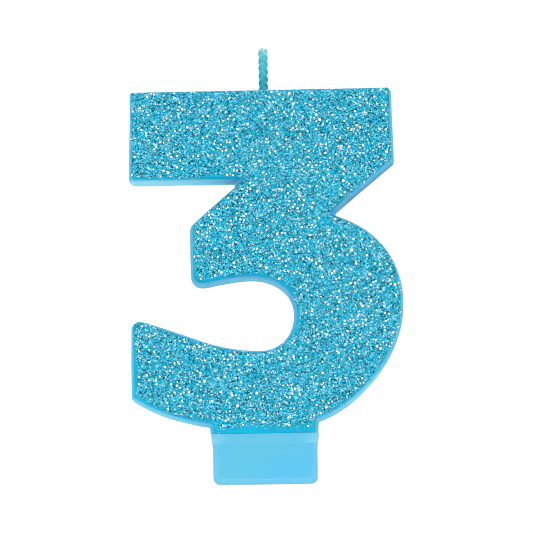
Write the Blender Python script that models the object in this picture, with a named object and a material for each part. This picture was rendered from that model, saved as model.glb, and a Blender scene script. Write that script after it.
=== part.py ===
"""A moulded number candle, a "3": wax numeral, glitter coat, braided wick and a clear push-on holder.

The frame is +Z up, with the origin under the middle of the candle on the surface that it stands on.
The glitter front faces -Y. Lengths are in metres; the outline's own points are in millimetres.
"""

import math

import bmesh
import bpy
from mathutils import Vector

MM = 0.001

# Driving dimensions
THICKNESS = 9.5 * MM  # front of the glitter coat to the back of the wax
DRAFT = math.tan(math.radians(4.0))  # how the mould's side walls narrow towards the front
FRONT_ROUND = 0.9 * MM  # radius of the front edge, over the coat
BACK_ROUND = 0.45 * MM
BACK_FACET = 0.3 * BACK_ROUND  # where the back edge's two facets meet, in from the back and from the wall
COAT_THICKNESS = 0.3 * MM
BOND_GAP = 0.05 * MM  # between the coat and the wax
SHOULDER_HEIGHT = 9.45 * MM  # underside of the numeral's neck, which sits on the holder's rim
NUMERAL_TOP = 75.0 * MM
WICK_TOP = 82.4 * MM
WICK_BOTTOM = 42.0 * MM

# Push-on holder
HOLDER_X = -0.7 * MM  # the neck is a little left of the numeral's middle
HOLDER_HALF_WIDTH = 9.85 * MM
HOLDER_HALF_DEPTH = 4.45 * MM
HOLDER_HEIGHT = 9.35 * MM
HOLDER_FLARE = 0.35 * MM  # how far the mouth spreads, sideways
HOLDER_FLARE_DEPTH = 0.25 * MM
FLARE_START = 6.6 * MM
HOLDER_WALL = 0.8 * MM
HOLDER_FLOOR = 1.15 * MM
HOLDER_CORNER = 1.3 * MM
HOLDER_BASE_ROUND = 1.1 * MM  # height of the base's rounding, and its width at the holder's ends
HOLDER_BASE_SIDE_ROUND = 0.25 * MM  # its width along the long sides
RIM_ROUND = 0.1 * MM
LEAD_IN_START = 7.6 * MM
LEAD_IN = 0.3 * MM  # how much the wall thins towards the rim
FLOOR_CHAMFER_HEIGHT = 0.4 * MM  # between the holder's walls and its floor, inside
FLOOR_CHAMFER_WIDTH = 0.35 * MM

# Tab of the numeral, inside the holder
TAB_GAP = 0.1 * MM
TAB_FLOOR_GAP = 0.15 * MM
TAB_ROOT = 13.0 * MM  # the tab runs up into the neck to here
TAB_CHAMFER = 0.5 * MM

# Wick: three yarns in a plait
YARN_RADIUS = 0.27 * MM
PLAIT_WIDTH = 0.57 * MM  # how far a yarn's centre swings, left and right
PLAIT_DEPTH = 0.5 * MM
PLAIT_PITCH = 4.2 * MM
PLAIT_STEPS = 12  # points on a yarn for each pitch
CHANNEL_RADIUS = 1.0 * MM
CHANNEL_BELOW = 0.5 * MM  # how far the channel runs on under the wick
CUT_ABOVE = 2.0 * MM  # how far the channel's cutter stands out of the numeral's top
YARN_CUT = (0.0, 0.45 * MM, 0.2 * MM)  # how much shorter each yarn was cut

# The back outline of the "3", clockwise from its top left corner, in millimetres.
# A corner has a radius, and a point has none. A curve is (control, control, end, steps).
OUTLINE = (
    ("corner", (-25.55, 74.79), 0.35),
    ("corner", (24.3, 75.0), 0.9),
    ("corner", (24.65, 60.5), 1.3),
    ("corner", (13.05, 50.93), 0.3),
    ("point", (14.8, 50.28)),
    ("curve", (21.95, 47.4), (26.0, 42.1), (26.0, 33.7), 11),
    ("curve", (26.0, 25.0), (18.9, 15.75), (11.1, 12.26), 13),
    ("corner", (9.55, 11.62), 0.3),
    ("corner", (9.2, 5.0), 0.0),
    ("corner", (-10.4, 5.0), 0.0),
    ("corner", (-11.2, 10.88), 0.3),
    ("point", (-12.7, 11.14)),
    ("curve", (-16.9, 11.9), (-20.5, 12.95), (-24.7, 15.47), 7),
    ("corner", (-25.97, 16.25), 1.5),
    ("corner", (-25.85, 32.0), 1.7),
    ("point", (-23.1, 31.15)),
    ("curve", (-15.7, 28.85), (-9.4, 25.4), (-1.5, 25.4), 9),
    ("curve", (2.6, 25.4), (5.05, 28.6), (5.05, 32.0), 7),
    ("curve", (5.05, 36.3), (1.1, 38.55), (-3.0, 38.55), 8),
    ("curve", (-6.8, 38.55), (-10.7, 37.34), (-11.95, 37.34), 5),
    ("curve", (-13.7, 37.34), (-14.44, 38.4), (-14.44, 40.1), 5),
    ("corner", (-14.44, 49.14), 2.0),
    ("corner", (-5.35, 56.95), 0.3),
    ("corner", (-25.92, 57.0), 1.35),
)
CORNER_STEPS = 4
SMALLEST_CORNER = 0.25 * MM


def clear_scene():
    for obj in list(bpy.data.objects):
        bpy.data.objects.remove(obj)


def material(name, colour, roughness, metallic=0.0, alpha=1.0):
    """A plain Principled material."""
    made = bpy.data.materials.new(name)
    made.use_nodes = True
    shader = made.node_tree.nodes["Principled BSDF"]
    shader.inputs["Base Color"].default_value = (*colour, 1.0)
    shader.inputs["Roughness"].default_value = roughness
    shader.inputs["Metallic"].default_value = metallic
    shader.inputs["Alpha"].default_value = alpha
    made.diffuse_color = (*colour, alpha)
    return made


def new_object(name, data, shader):
    obj = bpy.data.objects.new(name, data)
    bpy.context.scene.collection.objects.link(obj)
    if shader:
        data.materials.append(shader)
    return obj


def make_helper(obj):
    """Marks a cutter or another helper, which isn't a piece of the candle."""
    obj.hide_render = True
    obj.display_type = "WIRE"


def bezier(start, control_a, control_b, end, steps):
    """The points of a cubic curve, without its start."""
    points = []
    for i in range(1, steps + 1):
        t = i / steps
        s = 1 - t
        points.append(s**3 * start + 3 * s * s * t * control_a + 3 * s * t * t * control_b + t**3 * end)
    return points


def outline_skeleton():
    """The outline with sharp corners: a list of (point, corner radius), where 0 is a plain point."""
    skeleton = []
    for kind, *values in OUTLINE:
        if kind == "curve":
            control_a, control_b, end = (Vector(v) * MM for v in values[:3])
            points = bezier(skeleton[-1][0], control_a, control_b, end, values[3])
            skeleton += [(point, 0.0) for point in points]
            continue
        radius = values[1] * MM if kind == "corner" else 0.0
        skeleton.append((Vector(values[0]) * MM, radius))
    return skeleton


def is_convex(before, here, after):
    """True where the clockwise outline turns right."""
    return (here - before).cross(after - here) < 0


def inset_point(before, here, after, inset):
    """A mitred offset of one corner into the shape. The outline runs clockwise, so inside is its right."""
    first = (here - before).normalized()
    second = (after - here).normalized()
    into_first = Vector((first.y, -first.x))
    into_second = Vector((second.y, -second.x))
    middle = (into_first + into_second).normalized()
    return here + middle * (inset / middle.dot(into_first))


def rounded(before, here, after, radius):
    """The arc that replaces one corner."""
    to_before = (before - here).normalized()
    to_after = (after - here).normalized()
    half = to_before.angle(to_after) / 2
    reach = radius / math.tan(half)
    centre = here + (to_before + to_after).normalized() * (radius / math.sin(half))
    start = here + to_before * reach - centre
    turn = start.angle_signed(here + to_after * reach - centre)
    points = []
    for i in range(CORNER_STEPS + 1):
        angle = -turn * i / CORNER_STEPS
        cosine, sine = math.cos(angle), math.sin(angle)
        spun = Vector((start.x * cosine - start.y * sine, start.x * sine + start.y * cosine))
        points.append(centre + spun)
    return points


def outline_at(inset):
    """The numeral's outline, moved inwards by inset. Every inset gives the same number of points."""
    skeleton = outline_skeleton()
    count = len(skeleton)
    moved = []
    for i, (point, _) in enumerate(skeleton):
        before, after = skeleton[i - 1][0], skeleton[(i + 1) % count][0]
        moved.append(inset_point(before, point, after, inset))
    points = []
    for i, (_, radius) in enumerate(skeleton):
        before, here, after = moved[i - 1], moved[i], moved[(i + 1) % count]
        if radius == 0.0:
            points.append(here)
            continue
        if is_convex(before, here, after):
            radius = max(radius - inset, SMALLEST_CORNER)
        points += rounded(before, here, after, radius)
    return points


def loft(loops):
    """A closed body through loops of equal length, capped at both ends."""
    shape = bmesh.new()
    rings = [[shape.verts.new(point) for point in loop] for loop in loops]
    for lower, upper in zip(rings, rings[1:]):
        for i in range(len(lower)):
            j = (i + 1) % len(lower)
            shape.faces.new((lower[i], lower[j], upper[j], upper[i]))
    shape.faces.new(reversed(rings[0]))
    shape.faces.new(rings[-1])
    bmesh.ops.recalc_face_normals(shape, faces=shape.faces)
    return shape


def numeral_loops(profile):
    """Loops of the "3" from a profile of (y, inset)."""
    return [[(point.x, y, point.y) for point in outline_at(inset)] for y, inset in profile]


def wall_inset(y):
    """How far the side wall stands in from the back outline, at this depth."""
    return DRAFT * (THICKNESS / 2 - y)


ROUND_Y = -THICKNESS / 2 + FRONT_ROUND  # centre of the front edge's rounding
ROUND_INSET = wall_inset(ROUND_Y) + FRONT_ROUND


def front_arc(radius, steps):
    """The front edge's rounding as (y, inset), from the side wall to the front face."""
    angles = [math.pi / 2 * i / steps for i in range(steps + 1)]
    return [(ROUND_Y - radius * math.sin(a), ROUND_INSET - radius * math.cos(a)) for a in angles]


def cut_at_shoulder(shape):
    """Takes away what lies below the shoulder and closes the cut."""
    everything = shape.verts[:] + shape.edges[:] + shape.faces[:]
    level = Vector((0, 0, SHOULDER_HEIGHT))
    cut = bmesh.ops.bisect_plane(
        shape, geom=everything, plane_co=level, plane_no=(0, 0, -1), clear_outer=True
    )
    edges = [part for part in cut["geom_cut"] if isinstance(part, bmesh.types.BMEdge)]
    bmesh.ops.contextual_create(shape, geom=edges)
    bmesh.ops.recalc_face_normals(shape, faces=shape.faces)


def finish_mesh(name, shape, sharp_degrees=35.0):
    """A mesh from the shape: flat faces as triangles, round faces shaded smooth."""
    bmesh.ops.triangulate(shape, faces=[face for face in shape.faces if len(face.verts) > 4])
    mesh = bpy.data.meshes.new(name)
    shape.to_mesh(mesh)
    shape.free()
    mesh.shade_smooth()
    mesh.set_sharp_from_angle(angle=math.radians(sharp_degrees))
    return mesh


def rounded_rectangle(half_width, half_depth, radius, z, steps=4):
    """A loop round the holder's or the tab's middle, at one height."""
    points = []
    for quarter, (side_x, side_y) in enumerate(((1, 1), (-1, 1), (-1, -1), (1, -1))):
        centre_x = HOLDER_X + side_x * (half_width - radius)
        centre_y = side_y * (half_depth - radius)
        for i in range(steps + 1):
            angle = math.pi / 2 * (quarter + i / steps)
            points.append((centre_x + radius * math.cos(angle), centre_y + radius * math.sin(angle), z))
    return points


def make_tab():
    """The plain tab under the numeral, which the holder grips."""
    half_width = HOLDER_HALF_WIDTH - HOLDER_WALL - TAB_GAP
    half_depth = HOLDER_HALF_DEPTH - HOLDER_WALL - TAB_GAP
    corner = HOLDER_CORNER - HOLDER_WALL
    bottom = HOLDER_FLOOR + TAB_FLOOR_GAP
    loops = [
        rounded_rectangle(half_width - TAB_CHAMFER, half_depth - TAB_CHAMFER, corner, bottom),
        rounded_rectangle(half_width, half_depth, corner, bottom + TAB_CHAMFER),
        rounded_rectangle(half_width, half_depth, corner, TAB_ROOT),
    ]
    tab = new_object("tab_root", finish_mesh("tab_root", loft(loops)), None)
    make_helper(tab)
    return tab


def make_channel_cutter():
    """The blind channel that the wick is set in, open at the top of the numeral."""
    shape = bmesh.new()
    bottom = WICK_BOTTOM - CHANNEL_BELOW
    top = NUMERAL_TOP + CUT_ABOVE
    bmesh.ops.create_cone(
        shape, cap_ends=True, segments=20, radius1=CHANNEL_RADIUS, radius2=CHANNEL_RADIUS, depth=top - bottom
    )
    bmesh.ops.translate(shape, verts=shape.verts, vec=(0, 0, (top + bottom) / 2))
    cutter = new_object("wick_channel", finish_mesh("wick_channel", shape), None)
    make_helper(cutter)
    return cutter


def boolean(obj, other, operation):
    step = obj.modifiers.new(other.name, "BOOLEAN")
    step.operation = operation
    step.solver = "EXACT"
    step.object = other


def make_numeral(wax):
    """The wax "3" with its tab. Its front edge steps back to take the coat."""
    step_y = ROUND_Y + BOND_GAP
    under_coat = FRONT_ROUND - COAT_THICKNESS - BOND_GAP
    back = THICKNESS / 2
    profile = [
        (back, BACK_ROUND),
        (back - BACK_FACET, BACK_FACET),
        (back - BACK_ROUND, wall_inset(back - BACK_ROUND)),
        (step_y, wall_inset(step_y)),
        (step_y, ROUND_INSET - under_coat),
        *front_arc(under_coat, 3),
    ]
    shape = loft(numeral_loops(profile))
    cut_at_shoulder(shape)
    numeral = new_object("numeral_body", finish_mesh("numeral_body", shape), wax)
    boolean(numeral, make_tab(), "UNION")
    boolean(numeral, make_channel_cutter(), "DIFFERENCE")
    return numeral


def make_coat(glitter):
    """The lacquer and glitter skin over the front face and its rounded edge."""
    outer = front_arc(FRONT_ROUND, 4)
    inner = front_arc(FRONT_ROUND - COAT_THICKNESS, 3)
    shape = loft(numeral_loops(outer[::-1] + inner))
    cut_at_shoulder(shape)
    return new_object("glitter_coat", finish_mesh("glitter_coat", shape), glitter)


def holder_loops():
    """The holder from its base, up the outside, over the rim and down the inside."""
    outer_corner = HOLDER_CORNER
    inner_corner = HOLDER_CORNER - HOLDER_WALL
    loops = []
    for i in range(4):
        angle = math.pi / 2 * i / 3
        pulled = 1 - math.sin(angle)
        width = HOLDER_HALF_WIDTH - HOLDER_BASE_ROUND * pulled
        depth = HOLDER_HALF_DEPTH - HOLDER_BASE_SIDE_ROUND * pulled
        loops.append(rounded_rectangle(width, depth, outer_corner, HOLDER_BASE_ROUND * (1 - math.cos(angle))))
    loops.append(rounded_rectangle(HOLDER_HALF_WIDTH, HOLDER_HALF_DEPTH, outer_corner, FLARE_START))
    rim_width = HOLDER_HALF_WIDTH + HOLDER_FLARE
    rim_depth = HOLDER_HALF_DEPTH + HOLDER_FLARE_DEPTH
    rim_wall = HOLDER_WALL - LEAD_IN
    loops.append(rounded_rectangle(rim_width, rim_depth, outer_corner, HOLDER_HEIGHT - RIM_ROUND))
    for pulled, corner in ((RIM_ROUND, outer_corner), (rim_wall, inner_corner)):
        loops.append(rounded_rectangle(rim_width - pulled, rim_depth - pulled, corner, HOLDER_HEIGHT))
    width, depth = HOLDER_HALF_WIDTH - HOLDER_WALL, HOLDER_HALF_DEPTH - HOLDER_WALL
    for z in (LEAD_IN_START, HOLDER_FLOOR + FLOOR_CHAMFER_HEIGHT):
        loops.append(rounded_rectangle(width, depth, inner_corner, z))
    width, depth = width - FLOOR_CHAMFER_WIDTH, depth - FLOOR_CHAMFER_WIDTH
    loops.append(rounded_rectangle(width, depth, inner_corner, HOLDER_FLOOR))
    return loops


def make_holder(plastic):
    return new_object("holder", finish_mesh("holder", loft(holder_loops())), plastic)


def make_yarn(index, cotton):
    """One of the plait's three yarns: a figure of eight that climbs, a third of a turn from the next."""
    top = WICK_TOP - YARN_CUT[index]
    length = top - WICK_BOTTOM
    count = round(length / PLAIT_PITCH * PLAIT_STEPS)
    curve = bpy.data.curves.new(f"wick_yarn_{index + 1}", "CURVE")
    curve.dimensions = "3D"
    curve.bevel_depth = YARN_RADIUS
    curve.bevel_resolution = 1
    curve.use_fill_caps = True
    spline = curve.splines.new("POLY")
    spline.points.add(count)
    for i, point in enumerate(spline.points):
        z = WICK_BOTTOM + length * i / count
        turn = 2 * math.pi * (z / PLAIT_PITCH + index / 3)
        point.co = (PLAIT_WIDTH * math.sin(turn), PLAIT_DEPTH * math.sin(2 * turn), z, 1.0)
    spline.use_smooth = True
    return new_object(f"wick_yarn_{index + 1}", curve, cotton)


def main():
    clear_scene()
    wax = material("aqua_wax", (0.19, 0.6, 0.83), 0.4)
    glitter = material("blue_glitter", (0.03, 0.45, 0.72), 0.3, metallic=0.4)
    plastic = material("clear_plastic", (0.75, 0.9, 0.97), 0.1, alpha=0.35)
    cotton = material("dyed_cotton", (0.03, 0.48, 0.6), 0.8)

    lift = bpy.data.objects.new("candle_lift", None)
    bpy.context.scene.collection.objects.link(lift)
    lift.location = (HOLDER_X, 0, SHOULDER_HEIGHT)
    bpy.context.view_layer.update()

    make_holder(plastic)
    candle = [make_numeral(wax), make_coat(glitter)]
    candle += [make_yarn(index, cotton) for index in range(3)]
    for piece in candle:
        piece.parent = lift
        piece.matrix_parent_inverse = lift.matrix_world.inverted()


main()
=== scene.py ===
"""Looks of the number candle "3": glitter lacquer front, wax body, plaited wick and a clear push-on holder.

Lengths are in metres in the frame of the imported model, whose glitter front faces -Y. The outline's own points
are in millimetres, as in the CAD source.
"""

import math

import bmesh
import bpy
import numpy as np
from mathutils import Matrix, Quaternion, Vector, kdtree
from mathutils.geometry import delaunay_2d_cdt


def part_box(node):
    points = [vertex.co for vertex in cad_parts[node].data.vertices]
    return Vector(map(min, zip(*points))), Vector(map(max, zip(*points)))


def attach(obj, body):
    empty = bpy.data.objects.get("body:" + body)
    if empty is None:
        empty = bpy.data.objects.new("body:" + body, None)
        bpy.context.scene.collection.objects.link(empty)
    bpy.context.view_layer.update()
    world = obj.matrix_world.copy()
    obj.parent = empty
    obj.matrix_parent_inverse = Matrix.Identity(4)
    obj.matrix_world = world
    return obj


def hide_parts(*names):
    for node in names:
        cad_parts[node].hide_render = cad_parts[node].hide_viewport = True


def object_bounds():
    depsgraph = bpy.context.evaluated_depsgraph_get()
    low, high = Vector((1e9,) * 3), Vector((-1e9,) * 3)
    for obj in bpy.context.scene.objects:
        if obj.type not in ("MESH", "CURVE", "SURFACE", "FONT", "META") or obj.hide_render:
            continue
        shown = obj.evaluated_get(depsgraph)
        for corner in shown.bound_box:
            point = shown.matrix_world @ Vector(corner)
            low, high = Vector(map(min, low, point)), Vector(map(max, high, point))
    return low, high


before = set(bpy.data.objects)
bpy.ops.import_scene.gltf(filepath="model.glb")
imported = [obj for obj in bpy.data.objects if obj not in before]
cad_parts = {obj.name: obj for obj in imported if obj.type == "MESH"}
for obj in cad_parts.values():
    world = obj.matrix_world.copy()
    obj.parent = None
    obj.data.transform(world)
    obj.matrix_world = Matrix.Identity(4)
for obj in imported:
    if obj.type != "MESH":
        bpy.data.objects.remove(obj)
cad_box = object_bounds()

MM = 0.001

# Sizes that the CAD model also has
THICKNESS = 9.5 * MM
DRAFT = math.tan(math.radians(4.0))
FRONT_ROUND = 0.9 * MM
BACK_ROUND = 0.45 * MM
COAT_THICKNESS = 0.3 * MM
BOND_GAP = 0.05 * MM
SHOULDER_HEIGHT = 9.45 * MM
HOLDER_X = -0.7 * MM
HOLDER_HALF_WIDTH = 9.85 * MM
HOLDER_HALF_DEPTH = 4.45 * MM
HOLDER_HEIGHT = 9.35 * MM
HOLDER_FLARE = 0.35 * MM
HOLDER_FLARE_DEPTH = 0.25 * MM
FLARE_START = 6.6 * MM
HOLDER_WALL = 0.8 * MM
HOLDER_FLOOR = 1.15 * MM
HOLDER_CORNER = 1.3 * MM
HOLDER_BASE_ROUND = 1.1 * MM  # height of the base's rounding, and its width at the holder's ends
HOLDER_BASE_SIDE_ROUND = 0.25 * MM  # its width along the long sides
LEAD_IN_START = 7.6 * MM
LEAD_IN = 0.3 * MM
TAB_GAP = 0.1 * MM
TAB_FLOOR_GAP = 0.15 * MM
TAB_ROOT = 13.0 * MM
PLAIT_PITCH = 4.2 * MM
CHANNEL_RADIUS = 1.0 * MM
CHANNEL_BELOW = 0.5 * MM  # how far the channel runs on under the wick

# Wax body. The back face and the walls have slight sinks.
TAB_END = 1.5 * MM  # how far up the tab's rounded lower end goes
TAB_END_WIDTH = 1.3  # how far in the rounding starts, as shares of its height
TAB_END_DEPTH = 0.4
BACK_SPACING = 1.1 * MM  # between the points of the back face
SINK_DEPTH = 0.035 * MM
DENT_DEPTH = 0.012 * MM
WAX_SHRINK = 0.03 * MM  # keeps the raised places within the CAD model's box

# Lacquer that ran over the edge onto the walls, and painted shade on the walls' back edge and on the slanted
# wall under the bar
WALL_GAP = (1.9 * MM, 2.6 * MM)  # from the coat's outer line, over which the walls end
FILM_REACH = 4.6 * MM  # how far back the lacquer runs
FILM_REACH_DOWN = 5.0 * MM  # and how much less on the walls that face down
FILM_WANDER = 0.3 * MM  # how much its reach varies
FILM_FADE = 0.6 * MM
FILM_START_Y = -1.2 * MM  # where its reach is measured from
UNDER_BAR = (50 * MM, 54 * MM)  # heights over which the walls become the top bar's
DIAGONAL_X = (12 * MM, 13 * MM)  # to the right of this, a wall under the bar is the slanted one that faces down and right, which gets painted shade
DIAGONAL_SHADE_Y = (-2 * MM, 3 * MM)  # over which its painted shade darkens, from front to back
REAR_SHADE_Y = (2.6 * MM, 4.2 * MM)  # over which painted shade darkens the other walls towards the back
NECK_HEIGHT = (11 * MM, 14 * MM)  # heights over which the painted shade on the back edge starts
LEFT_ENDS = (19 * MM, 23 * MM)  # left of the middle, where the strokes' ends have little painted shade
BAR_ENDS = (57 * MM, 60 * MM)  # heights from which the bar's walls have little painted shade

# Glitter coat
FRONT_SPACING = 0.75 * MM  # between the points of the front face
LUMP_HEIGHT = 0.02 * MM
PEEL_HEIGHT = 0.009 * MM
STRIP_WANDER = 0.28 * MM  # how much the bare strip's width varies
STRIP_FADE = 0.35 * MM
BAR_BOTTOM = (53 * MM, 57 * MM)  # heights over which the bare strip on the left side ends
BARE_NECK = (0.3 * MM, 2.0 * MM)  # heights over the shoulder at which the glitter starts
BARE_WANDER = 0.4 * MM  # how much those heights vary
FLAKES = 38000
FLAKE_SIZES = (0.15, 0.26)  # in millimetres, like the other ranges here
FLAKE_TILT = math.radians(12)
FLAKE_LIFTS = (0.0, 0.04)
FLAKE_DEPTH = 0.09 * MM  # of the point that is buried in the lacquer
SILVER_FLAKES = 1300
SILVER_GAP = 0.47 * MM  # two silver flakes are no nearer than this
SILVER_SIZE = 0.37
SILVER_SPREAD = 0.2
SILVER_LIMITS = (0.27, 0.6)
SILVER_TILTS = (7, 17)  # in degrees
SILVER_LIFTS = (0.05, 0.07)
SHADOW_DISTANCE = (0.2, 0.27)  # from a silver flake to the deep one beside it, which is a painted shadow
SHADOW_SHARE = 0.8  # how many silver flakes have a deep one beside them as a painted shadow

# Wick. Its yarns are thicker than the CAD model's, which stand clear of each other.
PLAIT_WIDTH = 0.51 * MM
PLAIT_DEPTH = 0.38 * MM
YARN_RADIUS = 0.4 * MM
THREADS = 6
THREAD_PITCH = 1.7 * MM
THREAD_RADIUS = 0.17 * MM
THREAD_SIDES = 8
THREAD_STEPS = 26  # points on a thread for each pitch of the plait
WICK_ROOT = 74.0 * MM  # heights between which its colour changes
WICK_TIP = 82.6 * MM
WICK_FOOT = 0.33 * MM  # how far the wax spreads round the wick's root
WICK_FOOT_HEIGHT = 0.28 * MM
SLEEVE_BELOW = 0.4 * MM  # how far the wax goes down into the channel
SLEEVE_UNDER_TIP = 0.5 * MM
SLEEVE_TAPER = 0.7 * MM
SLEEVE_INSIDE = 0.18 * MM  # how far the yarns stand out of the wax
SLEEVE_BUMPS = 0.035 * MM

# Holder's rim and lip
RIM_LIFT = 0.09 * MM  # over the CAD model's rim, so that it almost meets the shoulder
RIM_CHAMFER = 0.04 * MM
WALL_HEIGHTS = (3.0 * MM, 5.0 * MM)
FLARE_STEPS = 24
RIDGE_START = 7.6 * MM
RIDGE_HEIGHT = 0.022 * MM
RIDGE_PITCH = 0.55 * MM
LIP_LIGHT = (7.45 * MM, 7.65 * MM)  # heights over which the plastic becomes lighter
LIP_ENDS = (6.6 * MM, 9.2 * MM)  # from the holder's middle, over which the lip becomes lighter still
FLOOR_ROUND_HEIGHT = 0.4 * MM  # between the holder's walls and its floor, inside
FLOOR_ROUND_WIDTH = 0.35 * MM

# The back outline of the "3", clockwise from its top left corner, in millimetres.
# A corner has a radius, and a point has none. A curve is (control, control, end, steps).
OUTLINE = (
    ("corner", (-25.55, 74.79), 0.35),
    ("corner", (24.3, 75.0), 0.9),
    ("corner", (24.65, 60.5), 1.3),
    ("corner", (13.05, 50.93), 0.3),
    ("point", (14.8, 50.28)),
    ("curve", (21.95, 47.4), (26.0, 42.1), (26.0, 33.7), 33),
    ("curve", (26.0, 25.0), (18.9, 15.75), (11.1, 12.26), 39),
    ("corner", (9.55, 11.62), 0.3),
    ("corner", (9.2, 5.0), 0.0),
    ("corner", (-10.4, 5.0), 0.0),
    ("corner", (-11.2, 10.88), 0.3),
    ("point", (-12.7, 11.14)),
    ("curve", (-16.9, 11.9), (-20.5, 12.95), (-24.7, 15.47), 21),
    ("corner", (-25.97, 16.25), 1.5),
    ("corner", (-25.85, 32.0), 1.7),
    ("point", (-23.1, 31.15)),
    ("curve", (-15.7, 28.85), (-9.4, 25.4), (-1.5, 25.4), 36),
    ("curve", (2.6, 25.4), (5.05, 28.6), (5.05, 32.0), 18),
    ("curve", (5.05, 36.3), (1.1, 38.55), (-3.0, 38.55), 18),
    ("curve", (-6.8, 38.55), (-10.7, 37.34), (-11.95, 37.34), 14),
    ("curve", (-13.7, 37.34), (-14.44, 38.4), (-14.44, 40.1), 9),
    ("corner", (-14.44, 49.14), 2.0),
    ("corner", (-5.35, 56.95), 0.3),
    ("corner", (-25.92, 57.0), 1.35),
)
CORNER_STEPS = 7
SMALLEST_CORNER = 0.25 * MM
SPAN = 0.65 * MM  # longest step along the outline

# Camera: straight ahead of the candle, and from slightly below
CAMERA_TARGET = Vector((0.06, 0, 41.14)) * MM
CAMERA_DISTANCE = 1.2
CAMERA_AZIMUTH = math.radians(0.3)
CAMERA_ELEVATION = math.radians(-3.5)
CAMERA_ROLL = math.radians(-0.9)
FRAME_WIDTH = 100.87 * MM
SENSOR = 36.0


# ---------------------------------------------------------------- outline


def bezier(start, control_a, control_b, end, steps):
    t = np.linspace(0, 1, steps + 1)[1:, None]
    s = 1 - t
    return s**3 * start + 3 * s * s * t * control_a + 3 * s * t * t * control_b + t**3 * end


def make_skeleton():
    """The outline with sharp corners, and each point's corner radius."""
    points, radii = [], []
    for kind, *values in OUTLINE:
        if kind == "curve":
            control_a, control_b, end = (np.array(v) * MM for v in values[:3])
            points += list(bezier(points[-1], control_a, control_b, end, values[3]))
            radii += [0.0] * values[3]
            continue
        points.append(np.array(values[0]) * MM)
        radii.append(values[1] * MM if kind == "corner" else 0.0)
    return np.array(points), radii


def unit(vectors):
    return vectors / np.linalg.norm(vectors, axis=-1, keepdims=True)


def to_right(directions):
    """The inward side of a clockwise outline."""
    return np.stack([directions[:, 1], -directions[:, 0]], axis=1)


def move_in(points, inset):
    """A mitred offset into the shape."""
    ahead = unit(np.roll(points, -1, axis=0) - points)
    behind = np.roll(ahead, 1, axis=0)
    middle = unit(to_right(ahead) + to_right(behind))
    reach = inset / (middle * to_right(behind)).sum(axis=1)
    return points + middle * reach[:, None]


def fillet(before, here, after, radius):
    """The arc that replaces one corner."""
    to_before, to_after = unit(before - here), unit(after - here)
    half = math.acos(np.clip(to_before @ to_after, -1, 1)) / 2
    centre = here + unit(to_before + to_after) * (radius / math.sin(half))
    start = here + to_before * (radius / math.tan(half)) - centre
    end = here + to_after * (radius / math.tan(half)) - centre
    turn = math.atan2(start[0] * end[1] - start[1] * end[0], start @ end)
    angles = np.linspace(0, turn, CORNER_STEPS + 1)
    cosine, sine = np.cos(angles), np.sin(angles)
    arc = np.stack([start[0] * cosine - start[1] * sine, start[0] * sine + start[1] * cosine], axis=1)
    return centre + arc


SKELETON, CORNER_RADII = make_skeleton()


def rounded_outline(inset):
    """The outline with its corners rounded, moved inwards."""
    moved = move_in(SKELETON, inset)
    points = []
    for i, radius in enumerate(CORNER_RADII):
        before, here, after = moved[i - 1], moved[i], moved[(i + 1) % len(moved)]
        if radius == 0.0:
            points.append(here)
            continue
        first, second = here - before, after - here
        if first[0] * second[1] - first[1] * second[0] < 0:
            radius = max(radius - inset, SMALLEST_CORNER)
        points += list(fillet(before, here, after, radius))
    return np.array(points)


def span_counts():
    """How many steps each stretch of the outline is cut into."""
    points = rounded_outline(0.0)
    lengths = np.linalg.norm(np.roll(points, -1, axis=0) - points, axis=1)
    return np.maximum(1, np.ceil(lengths / SPAN)).astype(int)


SPAN_COUNTS = span_counts()


def outline_at(inset):
    """The outline of the "3", moved inwards, as points (x, z). Their number is the same at every inset."""
    points = rounded_outline(inset)
    following = np.roll(points, -1, axis=0)
    parts = []
    for start, end, count in zip(points, following, SPAN_COUNTS):
        share = np.arange(count)[:, None] / count
        parts.append(start + (end - start) * share)
    return np.concatenate(parts)


def wall_inset(y):
    return DRAFT * (THICKNESS / 2 - y)


ROUND_Y = -THICKNESS / 2 + FRONT_ROUND
ROUND_INSET = wall_inset(ROUND_Y) + FRONT_ROUND


def front_arc(radius, steps):
    """The front edge's rounding as (y, inset), from the side wall to the front face."""
    angles = [math.pi / 2 * i / steps for i in range(steps + 1)]
    return [(ROUND_Y - radius * math.sin(a), ROUND_INSET - radius * math.cos(a)) for a in angles]


# ---------------------------------------------------------------- meshes


def smoothstep(low, high, value):
    """0 up to low and 1 from high on. With low above high it falls instead."""
    t = np.clip((value - low) / (high - low), 0, 1)
    return t * t * (3 - 2 * t)


def wave_field(seed, wavelength, count=14):
    """A smooth random function of position, about -1 to 1."""
    draw = np.random.default_rng(seed)
    directions = unit(draw.normal(size=(count, 3)))
    scales = 2 * math.pi / (wavelength * draw.uniform(0.6, 1.8, count))
    phases = draw.uniform(0, 2 * math.pi, count)

    def field(points):
        waves = np.sin(points @ (directions * scales[:, None]).T + phases)
        return waves.sum(axis=1) / math.sqrt(count / 2) / 1.6

    return field


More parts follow.
